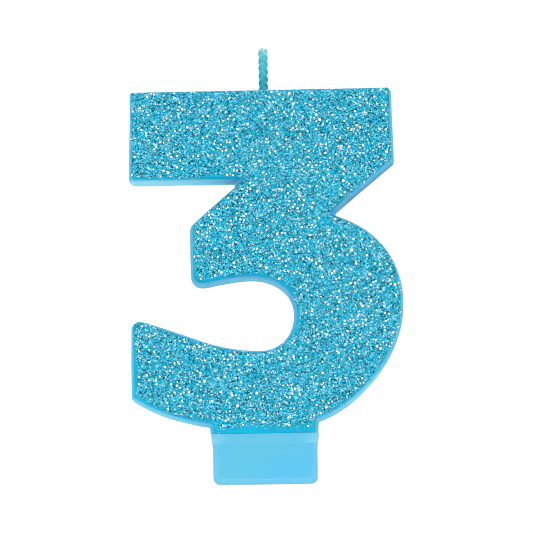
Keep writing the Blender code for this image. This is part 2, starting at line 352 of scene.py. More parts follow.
def inside_points(loop, spacing):
    """A triangular grid of points well inside a closed loop, in 2-D."""
    low, high = loop.min(axis=0), loop.max(axis=0)
    rows = np.arange(low[1], high[1], spacing * math.sqrt(3) / 2)
    grid = []
    for i, z in enumerate(rows):
        xs = np.arange(low[0] + spacing / 2 * (i % 2), high[0], spacing)
        grid.append(np.stack([xs, np.full(len(xs), z)], axis=1))
    grid = np.concatenate(grid)
    start, end = loop, np.roll(loop, -1, axis=0)
    run = end - start
    crossing = (start[:, 1] > grid[:, 1:2]) != (end[:, 1] > grid[:, 1:2])
    with np.errstate(divide="ignore", invalid="ignore"):
        at = start[:, 0] + run[:, 0] * (grid[:, 1:2] - start[:, 1]) / run[:, 1]
    inside = (crossing & (grid[:, 0:1] < at)).sum(axis=1) % 2 == 1
    grid = grid[inside]
    to_grid = grid[:, None, :] - start[None, :, :]
    share = np.clip((to_grid * run).sum(axis=2) / (run * run).sum(axis=1), 0, 1)
    gap = np.linalg.norm(to_grid - share[:, :, None] * run, axis=2).min(axis=1)
    return grid[gap > spacing * 0.55]


def cap(loop, y, first, spacing, next_index):
    """Triangles that fill a loop at one depth. Its points already have the indices from first on."""
    extra = inside_points(loop, spacing) if spacing else np.zeros((0, 2))
    flat = np.concatenate([loop, extra]) / MM
    count = len(loop)
    edges = [(i, (i + 1) % count) for i in range(count)]
    _, _, triangles, origins, _, _ = delaunay_2d_cdt([Vector(p) for p in flat], edges, [], 1, 1e-5)
    index = []
    for origin in origins:
        source = origin[0]
        index.append(first + source if source < count else next_index + source - count)
    added = [(x, y, z) for x, z in extra]
    return added, [[index[i] for i in triangle] for triangle in triangles]


def loft(rings, first_spacing):
    """A closed bmesh through rings of equal length, which are (loop of (x, z), y).

    The face at the first ring has extra points at this spacing, so that it can be uneven.
    """
    count = len(rings[0][0])
    points = [(x, y, z) for loop, y in rings for x, z in loop]
    faces = []
    for ring in range(len(rings) - 1):
        for i in range(count):
            j = (i + 1) % count
            low = ring * count
            faces.append([low + i, low + j, low + count + j, low + count + i])
    for ring, spacing in ((0, first_spacing), (len(rings) - 1, None)):
        added, triangles = cap(rings[ring][0], rings[ring][1], ring * count, spacing, len(points))
        points += added
        faces += triangles
    shape = bmesh.new()
    verts = [shape.verts.new(p) for p in points]
    for face in faces:
        shape.faces.new([verts[i] for i in face])
    bmesh.ops.recalc_face_normals(shape, faces=shape.faces)
    return shape


def cut_at_shoulder(shape):
    """Takes away what lies below the shoulder and closes the cut."""
    everything = shape.verts[:] + shape.edges[:] + shape.faces[:]
    level = Vector((0, 0, SHOULDER_HEIGHT))
    cut = bmesh.ops.bisect_plane(
        shape, geom=everything, plane_co=level, plane_no=(0, 0, -1), clear_outer=True
    )
    edges = [part for part in cut["geom_cut"] if isinstance(part, bmesh.types.BMEdge)]
    bmesh.ops.contextual_create(shape, geom=edges)
    bmesh.ops.recalc_face_normals(shape, faces=shape.faces)


def displace(shape, offset):
    """Moves every vertex by offset(points, normals), both (n, 3)."""
    shape.normal_update()
    points = np.array([vert.co for vert in shape.verts])
    normals = np.array([vert.normal for vert in shape.verts])
    for vert, moved in zip(shape.verts, points + offset(points, normals)):
        vert.co = moved


def new_object(name, shape, shader, sharp_degrees=40.0):
    """An object from a bmesh or a mesh, shaded smooth but for its sharp edges."""
    mesh = shape
    if isinstance(shape, bmesh.types.BMesh):
        bmesh.ops.triangulate(shape, faces=[face for face in shape.faces if len(face.verts) > 4])
        mesh = bpy.data.meshes.new(name)
        shape.to_mesh(mesh)
        shape.free()
        mesh.shade_smooth()
        mesh.set_sharp_from_angle(angle=math.radians(sharp_degrees))
    obj = bpy.data.objects.new(name, mesh)
    bpy.context.scene.collection.objects.link(obj)
    mesh.materials.append(shader)
    return obj


def combine(obj, other, operation):
    """A Boolean whose result replaces obj's mesh. The other object is removed."""
    step = obj.modifiers.new("combine", "BOOLEAN")
    step.operation = operation
    step.solver = "EXACT"
    step.object = other
    graph = bpy.context.evaluated_depsgraph_get()
    mesh = bpy.data.meshes.new_from_object(obj.evaluated_get(graph))
    obj.modifiers.clear()
    obj.data = mesh
    bpy.data.objects.remove(other)


def rounded_rectangle(half_width, half_depth, radius, z, steps=8, across=14):
    """A loop round the holder's middle at one height, with points along its long sides too."""
    points = []
    for quarter, (side_x, side_y) in enumerate(((1, 1), (-1, 1), (-1, -1), (1, -1))):
        centre = (HOLDER_X + side_x * (half_width - radius), side_y * (half_depth - radius))
        for i in range(steps + 1):
            angle = math.pi / 2 * (quarter + i / steps)
            points.append((centre[0] + radius * math.cos(angle), centre[1] + radius * math.sin(angle), z))
        if quarter % 2 == 0:
            run = 2 * (half_width - radius) * (1 if side_y < 0 else -1)
            for i in range(1, across):
                points.append((centre[0] + run * i / across, side_y * half_depth, z))
    return points


def loft_loops(loops):
    """A closed bmesh through loops of (x, y, z) points, with flat ends."""
    shape = bmesh.new()
    rings = [[shape.verts.new(point) for point in loop] for loop in loops]
    for lower, upper in zip(rings, rings[1:]):
        for i in range(len(lower)):
            j = (i + 1) % len(lower)
            shape.faces.new((lower[i], lower[j], upper[j], upper[i]))
    shape.faces.new(reversed(rings[0]))
    shape.faces.new(rings[-1])
    bmesh.ops.recalc_face_normals(shape, faces=shape.faces)
    return shape


def frame_along(path):
    """The direction of a path of (n, 3) points at each point, and two directions across it."""
    along = unit(np.gradient(path, axis=0))
    first = unit(np.array([1.0, 0, 0]) - along * along[:, 0:1])
    return along, first, np.cross(along, first)


def tube(paths, radius, sides):
    """Points and faces of round tubes along paths of (n, 3) points."""
    points, faces = [], []
    for path in paths:
        along, first, second = frame_along(path)
        angles = np.linspace(0, 2 * math.pi, sides, endpoint=False)
        cosine, sine = np.cos(angles)[None, :, None], np.sin(angles)[None, :, None]
        ring = first[:, None] * cosine + second[:, None] * sine
        start = len(points)
        points += list((path[:, None] + ring * radius).reshape(-1, 3))
        for i in range(len(path) - 1):
            for k in range(sides):
                j = (k + 1) % sides
                low = start + i * sides
                faces.append((low + k, low + j, low + sides + j, low + sides + k))
        for end, order in ((0, -1), (len(path) - 1, 1)):
            centre = path[end] + along[end] * (order * radius * 0.45)
            points.append(centre)
            low = start + end * sides
            for k in range(sides):
                j = (k + 1) % sides
                faces.append((low + k, low + j, len(points) - 1)[::order])
    return points, faces


# ---------------------------------------------------------------- materials


class Nodes:
    """A shader's nodes, made with short calls."""

    def __init__(self, tree):
        self.tree = tree

    def node(self, kind, inputs=(), **settings):
        made = self.tree.nodes.new("ShaderNode" + kind)
        for key, value in settings.items():
            setattr(made, key, value)
        for key, value in dict(inputs).items():
            self.feed(made.inputs[key], value)
        return made

    def feed(self, socket, value):
        if isinstance(value, bpy.types.NodeSocket):
            self.tree.links.new(value, socket)
        else:
            socket.default_value = value

    def stretched(self, place, scale):
        return self.node("Mapping", {"Vector": place, "Scale": scale}).outputs["Vector"]

    def attribute(self, name):
        return self.node("Attribute", attribute_name=name).outputs["Fac"]

    def height(self, place, low, high):
        """0 at the lower height and 1 at the upper one."""
        return self.map(self.node("SeparateXYZ", {"Vector": place}).outputs["Z"], low, high)

    def noise(self, vector, scale, detail=3.0, roughness=0.55):
        values = {"Vector": vector, "Scale": scale, "Detail": detail, "Roughness": roughness}
        return self.node("TexNoise", values).outputs["Fac"]

    def ramp(self, value, stops, interpolation="LINEAR"):
        made = self.node("ValToRGB", {"Fac": value})
        made.color_ramp.interpolation = interpolation
        elements = made.color_ramp.elements
        while len(elements) < len(stops):
            elements.new(0.5)
        for element, (position, colour) in zip(elements, stops):
            element.position = position
            element.color = (*colour, 1.0)
        return made.outputs["Color"]

    def mix(self, share, first, second):
        made = self.node("Mix", data_type="RGBA")
        self.feed(made.inputs["Factor"], share)
        for socket, value in ((made.inputs[6], first), (made.inputs[7], second)):
            self.feed(socket, value if isinstance(value, bpy.types.NodeSocket) else (*value, 1.0))
        return made.outputs[2]

    def math(self, operation, first, second=0.0):
        made = self.node("Math", operation=operation)
        self.feed(made.inputs[0], first)
        self.feed(made.inputs[1], second)
        return made.outputs[0]

    def map(self, value, low, high, to_low=0.0, to_high=1.0):
        values = {"Value": value, "From Min": low, "From Max": high, "To Min": to_low, "To Max": to_high}
        return self.node("MapRange", values).outputs["Result"]

    def bump(self, height, distance, strength=1.0, normal=None):
        values = {"Height": height, "Distance": distance, "Strength": strength}
        if normal:
            values["Normal"] = normal
        return self.node("Bump", values).outputs["Normal"]

    def blend(self, share, first, second):
        return self.node("MixShader", {"Fac": share, 1: first, 2: second}).outputs["Shader"]


class Material(Nodes):
    """A new material, whose look is set on its Principled shader."""

    def __init__(self, name):
        self.material = bpy.data.materials.new(name)
        self.material.use_nodes = True
        super().__init__(self.material.node_tree)
        self.shader = self.tree.nodes["Principled BSDF"]

    def set(self, **inputs):
        for key, value in inputs.items():
            self.feed(self.shader.inputs[key.replace("_", " ")], value)

    def place(self):
        return self.node("TexCoord").outputs["Object"]


def rgb(red, green, blue):
    """A linear colour from sRGB bytes."""
    parts = [value / 255 for value in (red, green, blue)]
    return tuple(p / 12.92 if p <= 0.04045 else ((p + 0.055) / 1.055) ** 2.4 for p in parts)


def wax_material():
    """Translucent aqua wax. Lacquer tints the walls where film is above 0, and painted shade darkens the back
    edge of the walls and the slanted wall under the bar.
    """
    made = Material("aqua_wax")
    place = made.place()
    film, rear_shade = made.attribute("film"), made.attribute("rear_shade")
    cloud = made.noise(place, 260.0, 4.0)
    base = made.ramp(cloud, ((0.2, rgb(124, 216, 236)), (0.8, rgb(134, 221, 240))))
    colour = made.mix(film, base, rgb(44, 178, 218))
    # painted shade: periwinkle darkening along the walls' back edge and on the slanted wall under the bar
    colour = made.mix(rear_shade, colour, rgb(76, 130, 190))
    made.set(Base_Color=colour)
    speck = made.noise(place, 1500.0, 2.0)
    soft = made.noise(place, 420.0, 3.0)
    drawn = made.stretched(place, (0.25, 1.0, 2.5))
    scratches = made.map(made.noise(drawn, 900.0, 5.0, 0.7), 0.62, 0.7)
    made.set(Roughness=made.map(soft, 0.3, 0.7, 0.42, 0.6))
    bumps = made.bump(speck, 0.02 * MM, 0.5, made.bump(soft, 0.12 * MM, 0.35))
    made.set(Normal=made.bump(scratches, 0.02 * MM, -0.5, bumps))
    made.set(Subsurface_Weight=0.12, Subsurface_Radius=(0.5, 1.0, 1.4), Subsurface_Scale=0.5 * MM)
    made.set(Specular_IOR_Level=0.06)
    return made.material


def lacquer_material():
    """Clear cyan lacquer full of fine glitter. The glitter attribute says where it thins out."""
    made = Material("glitter_lacquer")
    place = made.place()
    amount = made.attribute("glitter")
    cells = made.node("TexVoronoi", {"Vector": place, "Scale": 4200.0, "Randomness": 1.0})
    random = made.node("SeparateColor", {"Color": cells.outputs["Color"]}).outputs
    stops = (
        (0.0, rgb(0, 70, 90)),
        (0.2, rgb(10, 132, 160)),
        (0.45, rgb(2, 172, 212)),
        (0.75, rgb(60, 192, 222)),
        (0.9, rgb(160, 220, 236)),
    )
    flecks = made.ramp(random["Red"], stops, "CONSTANT")
    drift = made.ramp(made.noise(place, 190.0), ((0.3, rgb(2, 160, 198)), (0.7, rgb(8, 172, 210))))
    made.set(Base_Color=made.mix(amount, drift, flecks))
    tilt = made.math("MULTIPLY", random["Green"], amount)
    lumps = made.noise(place, 700.0, 2.0)
    normal = made.bump(lumps, 0.05 * MM, 0.4, made.bump(tilt, 0.03 * MM, 0.6))
    made.set(Normal=normal)
    made.set(Roughness=made.map(random["Blue"], 0.0, 1.0, 0.25, 0.5))
    made.set(Specular_IOR_Level=0.12)
    return made.material


def flake_material(name, colour, metallic, roughness):
    """One colour of glitter flake. Each flake's own tilt is what makes it bright or dark."""
    made = Material(name)
    made.set(Base_Color=(*colour, 1.0), Metallic=metallic, Roughness=roughness, Specular_IOR_Level=0.1)
    return made.material


def wick_material():
    """Teal cotton, stained by the wax and paler towards the tip."""
    made = Material("dyed_cotton")
    place = made.place()
    stops = (
        (0.0, rgb(26, 140, 158)),
        (0.35, rgb(52, 178, 192)),
        (0.8, rgb(84, 200, 208)),
        (1.0, rgb(168, 222, 224)),
    )
    colour = made.ramp(made.height(place, WICK_ROOT, WICK_TIP), stops)
    stain = made.noise(place, 1300.0, 4.0)
    colour = made.mix(made.map(stain, 0.35, 0.65, 0.0, 0.45), colour, rgb(30, 150, 172))
    made.set(Base_Color=colour)
    fibres = made.noise(made.stretched(place, (1.0, 1.0, 0.35)), 9000.0, 3.0)
    waxy = made.noise(place, 1100.0, 3.0)
    made.set(Normal=made.bump(fibres, 0.03 * MM, 0.7, made.bump(waxy, 0.06 * MM, 0.5)))
    made.set(Roughness=made.map(waxy, 0.3, 0.7, 0.45, 0.8))
    made.set(Specular_IOR_Level=0.3)
    return made.material


def wick_wax_material():
    """Cloudy aqua wax that soaked into the cotton."""
    made = Material("wick_wax")
    place = made.place()
    stops = (
        (0.0, rgb(30, 156, 182)),
        (0.3, rgb(62, 176, 190)),
        (0.8, rgb(104, 200, 210)),
        (1.0, rgb(186, 226, 230)),
    )
    colour = made.ramp(made.height(place, WICK_ROOT, WICK_TIP), stops)
    cloud = made.noise(place, 2100.0, 5.0, 0.7)
    share = made.map(cloud, 0.42, 0.6, 0.0, 0.8)
    made.set(Base_Color=made.mix(share, colour, rgb(26, 160, 176)))
    made.set(Normal=made.bump(cloud, 0.06 * MM, 0.6), Roughness=made.map(cloud, 0.3, 0.7, 0.4, 0.65))
    made.set(Specular_IOR_Level=0.3)
    return made.material


def plastic_material():
    """Clear, faintly aqua plastic. The lip and the ends of the mouth are lighter than the rest."""
    made = Material("clear_plastic")
    place = made.place()
    streaks = made.noise(made.stretched(place, (0.12, 0.5, 1.8)), 520.0, 4.0)
    cloud = made.noise(place, 110.0, 3.0)
    body = made.ramp(cloud, ((0.35, rgb(102, 199, 229)), (0.65, rgb(96, 196, 237))))
    light = made.math("MULTIPLY", made.attribute("lip"), 0.8)
    streaked = made.map(streaks, 0.35, 0.65, 0.1, 1.0)
    made.set(Base_Color=made.mix(made.math("MULTIPLY", light, streaked), body, rgb(142, 217, 240)))
    made.set(Roughness=made.map(made.noise(place, 700.0), 0.3, 0.7, 0.12, 0.25))
    made.set(Normal=made.bump(streaks, 0.05 * MM, 0.3))
    made.set(Alpha=0.78, Specular_IOR_Level=0.2)
    return made.material


def floor_material():
    """A pale matt floor that can be seen only from above. The light that it throws back is a steady glow."""
    made = Material("pale_floor")
    grain = made.noise(made.place(), 60.0, 5.0)
    made.set(Base_Color=made.ramp(grain, ((0.3, (0.78, 0.78, 0.775)), (0.7, (0.79, 0.79, 0.785)))))
    made.set(Roughness=0.75, Specular_IOR_Level=0.2)
    made.set(Emission_Color=(1, 1, 1, 1), Emission_Strength=0.2)
    glow = made.node("Emission", {"Strength": 1.15}).outputs["Emission"]
    bounced = made.node("LightPath").outputs["Is Diffuse Ray"]
    upper = made.blend(bounced, made.shader.outputs["BSDF"], glow)
    under = made.node("NewGeometry").outputs["Backfacing"]
    sides = made.blend(under, upper, made.node("BsdfTransparent").outputs["BSDF"])
    made.feed(made.tree.nodes["Material Output"].inputs["Surface"], sides)
    return made.material


# ---------------------------------------------------------------- the front edge


EDGE = outline_at(wall_inset(ROUND_Y))
EDGE_OUT = -to_right(unit(np.roll(EDGE, -1, axis=0) - np.roll(EDGE, 1, axis=0)))
STRIP_NOISE = wave_field(seed=21, wavelength=5 * MM)


def edge_tree():
    tree = kdtree.KDTree(len(EDGE))
    for i, (x, z) in enumerate(EDGE):
        tree.insert((x, 0, z), i)
    tree.balance()
    return tree


EDGE_TREE = edge_tree()


def edge_gap(points):
    """How far each point is from the coat's outer line, and which way that line faces there."""
    found = [EDGE_TREE.find((x, 0, z)) for x, _, z in points]
    near = np.array([index for _, index, _ in found])
    return np.array([distance for _, _, distance in found]), EDGE_OUT[near]


# ---------------------------------------------------------------- wax body


def numeral_rings(profile):
    """The outline at each (y, inset) of a profile."""
    return [(outline_at(inset), y) for y, inset in profile]


def tab_shape():
    """The plain tab under the numeral, with a rounded lower edge, as the mould leaves it."""
    half_width = HOLDER_HALF_WIDTH - HOLDER_WALL - TAB_GAP
    half_depth = HOLDER_HALF_DEPTH - HOLDER_WALL - TAB_GAP
    corner = HOLDER_CORNER - HOLDER_WALL
    bottom = HOLDER_FLOOR + TAB_FLOOR_GAP
    steps = 8
    loops = []
    for i in range(steps + 1):
        angle = math.pi / 2 * i / steps
        pulled = 1 - math.sin(angle)
        height = bottom + TAB_END * (1 - math.cos(angle))
        width = half_width - TAB_END * TAB_END_WIDTH * pulled
        depth = half_depth - TAB_END * TAB_END_DEPTH * pulled
        loops.append(rounded_rectangle(width, depth, corner, height))
    loops.append(rounded_rectangle(half_width, half_depth, corner, TAB_ROOT))
    return loft_loops(loops)


def channel_shape():
    """The hole that the wick is set in."""
    shape = bmesh.new()
    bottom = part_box("wick_yarn_1")[0].z - CHANNEL_BELOW
    top = cad_box[1].z
    bmesh.ops.create_cone(
        shape, cap_ends=True, segments=32, radius1=CHANNEL_RADIUS, radius2=CHANNEL_RADIUS, depth=top - bottom
    )
    bmesh.ops.translate(shape, verts=shape.verts, vec=(0, 0, (top + bottom) / 2))
    return shape


def set_values(obj, name, values):
    """Stores a number for every point, which a material reads as an attribute."""
    attribute = obj.data.attributes.new(name, "FLOAT", "POINT")
    attribute.data.foreach_set("value", np.asarray(values, np.float32))


def mesh_points(obj):
    return np.array([vert.co for vert in obj.data.vertices])


def paint_walls(wax):
    """Where lacquer ran over the edge onto the walls, and the painted shade on the walls' back edge and on the
    slanted wall under the bar.
    """
    points = mesh_points(wax)
    x, y, z = points.T
    gap, out = edge_gap(points)
    facing_back = np.array([vert.normal.y for vert in wax.data.vertices])
    wall = smoothstep(-WALL_GAP[1], -WALL_GAP[0], -np.abs(gap)) * (z > SHOULDER_HEIGHT + 0.01 * MM)
    wall = wall * smoothstep(0.75, 0.4, facing_back)
    down = smoothstep(0.35, 0.9, -out[:, 1])
    under_bar = smoothstep(*UNDER_BAR, z)
    # painted shade: the slanted wall under the bar, facing down and right, is darkened as if in shade
    diagonal_shade = under_bar * smoothstep(*DIAGONAL_X, x) * smoothstep(0.3, 0.5, -out[:, 1])

    reach = FILM_REACH - FILM_REACH_DOWN * down + FILM_WANDER * STRIP_NOISE(points)
    film = smoothstep(reach + FILM_FADE, reach - FILM_FADE, y - FILM_START_Y)
    film = np.maximum(film * (1 - 0.5 * under_bar * down), 0.6 * down * (1 - under_bar))
    # on the slanted wall under the bar the full lacquer tint is painted shade
    set_values(wax, "film", wall * np.maximum(film, diagonal_shade))

    # painted shade: the walls darken towards the back edge, less where they face down, at the strokes' ends and
    # under the bar
    rear_shade = smoothstep(*REAR_SHADE_Y, y) * (1 - 0.7 * down)
    rear_shade = np.maximum(rear_shade, 0.8 * diagonal_shade * smoothstep(*DIAGONAL_SHADE_Y, y))
    plain = np.maximum(smoothstep(*LEFT_ENDS, -x), smoothstep(*BAR_ENDS, z))
    rear_shade = rear_shade * (1 - 0.85 * np.maximum(plain, under_bar) * (1 - diagonal_shade))
    set_values(wax, "rear_shade", wall * rear_shade * smoothstep(*NECK_HEIGHT, z))


def make_wax(shader):
    back = THICKNESS / 2
    step_y = ROUND_Y + BOND_GAP
    under_coat = FRONT_ROUND - COAT_THICKNESS - BOND_GAP
    round_steps, wall_steps = 5, 8
    profile = []
    for i in range(round_steps + 1):
        angle = math.pi / 2 * i / round_steps
        y = back - BACK_ROUND * (1 - math.cos(angle))
        profile.append((y, BACK_ROUND * (1 - math.sin(angle)) + wall_inset(y) * math.sin(angle)))
    wall_start = back - BACK_ROUND
    for i in range(1, wall_steps + 1):
        y = wall_start + (step_y - wall_start) * i / wall_steps
        profile.append((y, wall_inset(y)))
    profile.append((step_y, ROUND_INSET - under_coat))
    profile += front_arc(under_coat, 3)
    shape = loft(numeral_rings(profile), BACK_SPACING)
    sink, dent = wave_field(seed=11, wavelength=9 * MM), wave_field(seed=12, wavelength=2.2 * MM)

    def uneven(points, normals):
        """Slight sinks on the open back face and the walls. The front, under the coat, stays as it is."""
        behind = smoothstep(step_y + 0.4 * MM, step_y + 1.5 * MM, points[:, 1])[:, None]
        depth = SINK_DEPTH * sink(points) + DENT_DEPTH * dent(points) - WAX_SHRINK
        return normals * behind * depth[:, None]

    displace(shape, uneven)
    cut_at_shoulder(shape)
    wax = new_object("wax_numeral", shape, shader)
    combine(wax, new_object("tab", tab_shape(), shader), "UNION")
    combine(wax, new_object("channel", channel_shape(), shader), "DIFFERENCE")
    wax.data.shade_smooth()
    wax.data.set_sharp_from_angle(angle=math.radians(35))
    paint_walls(wax)
    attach(wax, "candle")
    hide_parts("numeral_body")


# ---------------------------------------------------------------- glitter coat


def glitter_amount(points):
    """How much glitter lies at each point: 1 over most of the face, 0 on the bare strips of lacquer."""
    gap, out = edge_gap(points)
    down = smoothstep(0.25, 0.85, -out[:, 1]) * (1 - 0.6 * smoothstep(0.3, 0.7, out[:, 0]))
    left = smoothstep(0.6, 0.95, -out[:, 0]) * smoothstep(*BAR_BOTTOM[::-1], points[:, 2])
    up = smoothstep(0.6, 0.9, out[:, 1])
    wander = STRIP_NOISE(points)
    strip = (0.02 + 0.5 * down + 0.5 * left + 0.15 * up) * MM + STRIP_WANDER * (down + left) * wander
    amount = smoothstep(strip - STRIP_FADE, strip + STRIP_FADE, gap)
    above = points[:, 2] - SHOULDER_HEIGHT + BARE_WANDER * wander
    return amount * smoothstep(*BARE_NECK, above)


def make_coat(shader):
    outer, inner = front_arc(FRONT_ROUND, 8), front_arc(FRONT_ROUND - COAT_THICKNESS, 4)
    shape = loft(numeral_rings(outer[::-1] + inner), FRONT_SPACING)
    lumps, peel = wave_field(seed=31, wavelength=6 * MM), wave_field(seed=32, wavelength=1.5 * MM)

    def uneven(points, normals):
        """The lacquer pools a little, more in the middle of the face than round its edge."""
        facing = smoothstep(0.1, 0.9, -normals[:, 1])
        height = LUMP_HEIGHT + LUMP_HEIGHT * lumps(points) + PEEL_HEIGHT * peel(points)
        return np.stack([0 * facing, -facing * height, 0 * facing], axis=1)

    displace(shape, uneven)
    cut_at_shoulder(shape)
    coat = new_object("lacquer_coat", shape, shader, 50.0)
    set_values(coat, "glitter", glitter_amount(mesh_points(coat)))
    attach(coat, "candle")
    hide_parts("glitter_coat")
    return coat


def surface_points(obj, count, draw):
    """Random points on the open side of the coat, spread by area, and the surface's directions there."""
    mesh = obj.data
    mesh.calc_loop_triangles()
    corners = np.array([[mesh.vertices[i].co for i in t.vertices] for t in mesh.loop_triangles])
    normals = np.array([[mesh.vertices[i].normal for i in t.vertices] for t in mesh.loop_triangles])
    facing = np.cross(corners[:, 1] - corners[:, 0], corners[:, 2] - corners[:, 0])
    area = np.linalg.norm(facing, axis=1) / 2
    facing = unit(facing)
    cut = (facing[:, 2] < -0.98) & (corners[:, :, 2].max(axis=1) < SHOULDER_HEIGHT + 0.05 * MM)
    weight = area * (facing[:, 1] < -0.12) * ~cut
    chosen = draw.choice(len(area), size=count, p=weight / weight.sum())
    first, second = draw.random(count), draw.random(count)
    flip = first + second > 1
    first[flip], second[flip] = 1 - first[flip], 1 - second[flip]
    shares = np.stack([1 - first - second, first, second], axis=1)[:, :, None]
    return (corners[chosen] * shares).sum(axis=1), unit((normals[chosen] * shares).sum(axis=1))


def flake_mesh(name, points, normals, sizes, tilts, lifts, draw, shader):
    """Closed hexagonal flakes: a flat top, and a point that is buried in the lacquer."""
    count = len(points)
    helper = unit(np.cross(normals, draw.normal(size=(count, 3))))
    lean = unit(np.cross(normals, helper))
    facing = unit(normals + lean * np.tan(tilts)[:, None])
    across = unit(np.cross(facing, draw.normal(size=(count, 3))))
    along = np.cross(facing, across)
    centre = points + normals * lifts[:, None]
    angles = np.arange(6) * math.pi / 3 + draw.uniform(-0.13, 0.13, (count, 6))
    stretch = draw.uniform(0.8, 1.15, (count, 1))
    ring = across[:, None] * (np.cos(angles) * stretch)[:, :, None]
    ring = ring + along[:, None] * np.sin(angles)[:, :, None]
    ring = centre[:, None] + ring * (sizes / 2)[:, None, None]
    apex = centre - facing * FLAKE_DEPTH
    verts = np.concatenate([ring, apex[:, None]], axis=1).reshape(-1, 3)
    top = [(0, k, k + 1) for k in range(1, 5)]
    sides = [(k, 6, (k + 1) % 6) for k in range(6)]
    pattern = np.array(top + sides)
    faces = (pattern[None] + 7 * np.arange(count)[:, None, None]).reshape(-1, 3)
    mesh = bpy.data.meshes.new(name)
    mesh.from_pydata(verts, [], faces)
    mesh.update()
    flakes = new_object(name, mesh, shader)
    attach(flakes, "candle")


# Name, share of the flakes, colour, metallic, roughness
FLAKE_KINDS = (
    ("glitter_cyan", 0.33, rgb(36, 177, 204), 0.5, 0.35),
    ("glitter_azure", 0.23, rgb(98, 196, 216), 0.6, 0.3),
    ("glitter_teal", 0.28, rgb(50, 146, 166), 0.5, 0.35),
    # deep flakes of their own, and also the painted shadows set beside silver flakes
    ("glitter_deep_and_shadow", 0.04, rgb(14, 66, 78), 0.4, 0.35),
    ("glitter_ice", 0.12, rgb(176, 217, 227), 0.6, 0.3),
)
DEEP = [kind[0] for kind in FLAKE_KINDS].index("glitter_deep_and_shadow")


def kept_apart(points, gap):
    """Which points to keep so that no two are nearer than the gap."""
    kept = []
    for i, point in enumerate(points):
        if not kept or np.linalg.norm(points[kept] - point, axis=1).min() > gap:
            kept.append(i)
    return kept


def make_flakes(coat):
    """Small flakes in five colours, and larger silver ones, most of them with a deep flake beside them as a
    painted shadow.
    """
    draw = np.random.default_rng(5)

    def places(count):
        points, normals = surface_points(coat, count, draw)
        kept = draw.random(count) < glitter_amount(points)
        return points[kept], normals[kept]

    points, normals = places(FLAKES)
    kinds = draw.choice(len(FLAKE_KINDS), size=len(points), p=[kind[1] for kind in FLAKE_KINDS])
    silver_points, silver_normals = places(SILVER_FLAKES)
    apart = kept_apart(silver_points, SILVER_GAP)
    silver_points, silver_normals = silver_points[apart], silver_normals[apart]
    # painted shadow: a deep flake set beside most silver flakes
    beside = unit(np.cross(silver_normals, draw.normal(size=silver_points.shape)))
    shadows = silver_points + beside * draw.uniform(*SHADOW_DISTANCE, len(beside))[:, None] * MM
    chosen = draw.random(len(shadows)) < SHADOW_SHARE
    points = np.concatenate([points, shadows[chosen]])
    normals = np.concatenate([normals, silver_normals[chosen]])
    kinds = np.concatenate([kinds, np.full(chosen.sum(), DEEP)])
    for number, (name, _, colour, metallic, roughness) in enumerate(FLAKE_KINDS):
        chosen = kinds == number
        count = int(chosen.sum())
        sizes = draw.uniform(*FLAKE_SIZES, count) * MM
        tilts = np.abs(draw.normal(0, FLAKE_TILT, count))
        lifts = draw.uniform(*FLAKE_LIFTS, count) * MM
        shader = flake_material(name, colour, metallic, roughness)
        flake_mesh(name, points[chosen], normals[chosen], sizes, tilts, lifts, draw, shader)

    count = len(silver_points)
    sizes = np.clip(draw.lognormal(math.log(SILVER_SIZE), SILVER_SPREAD, count), *SILVER_LIMITS) * MM
    tilts = np.radians(draw.uniform(*SILVER_TILTS, count))
    lifts = draw.uniform(*SILVER_LIFTS, count) * MM
    silver = flake_material("glitter_silver", rgb(250, 252, 255), 0.75, 0.28)
    flake_mesh("glitter_silver", silver_points, silver_normals, sizes, tilts, lifts, draw, silver)


# ---------------------------------------------------------------- wick


def outline_top():
    """The height of the numeral's top where the wick comes out."""
    near = EDGE[(np.abs(EDGE[:, 0]) < 3 * MM) & (EDGE[:, 1] > 70 * MM)]
    return float(near[:, 1].mean()) + wall_inset(ROUND_Y) - wall_inset(0.0)


def make_yarn(index, shader, draw):
    """One of the plait's three yarns, twisted from threads."""
    node = f"wick_yarn_{index + 1}"
    low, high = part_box(node)
    bottom, top = low.z, high.z
    paths = []
    for thread in range(THREADS):
        end = top - draw.uniform(0.0, 0.22) * MM
        z = np.linspace(bottom, end, round((end - bottom) / PLAIT_PITCH * THREAD_STEPS))
        turn = 2 * math.pi * (z / PLAIT_PITCH + index / 3)
        centre = np.stack([PLAIT_WIDTH * np.sin(turn), PLAIT_DEPTH * np.sin(2 * turn), z], axis=1)
        _, first, second = frame_along(centre)
        twist = 2 * math.pi * (z / THREAD_PITCH + thread / THREADS)
        reach = YARN_RADIUS - THREAD_RADIUS
        paths.append(centre + reach * (first * np.cos(twist)[:, None] + second * np.sin(twist)[:, None]))
    points, faces = tube(paths, THREAD_RADIUS, THREAD_SIDES)
    mesh = bpy.data.meshes.new(f"yarn_{index + 1}")
    mesh.from_pydata(points, [], faces)
    mesh.shade_smooth()
    yarn = new_object(f"yarn_{index + 1}", mesh, shader)
    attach(yarn, "candle")
    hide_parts(node)


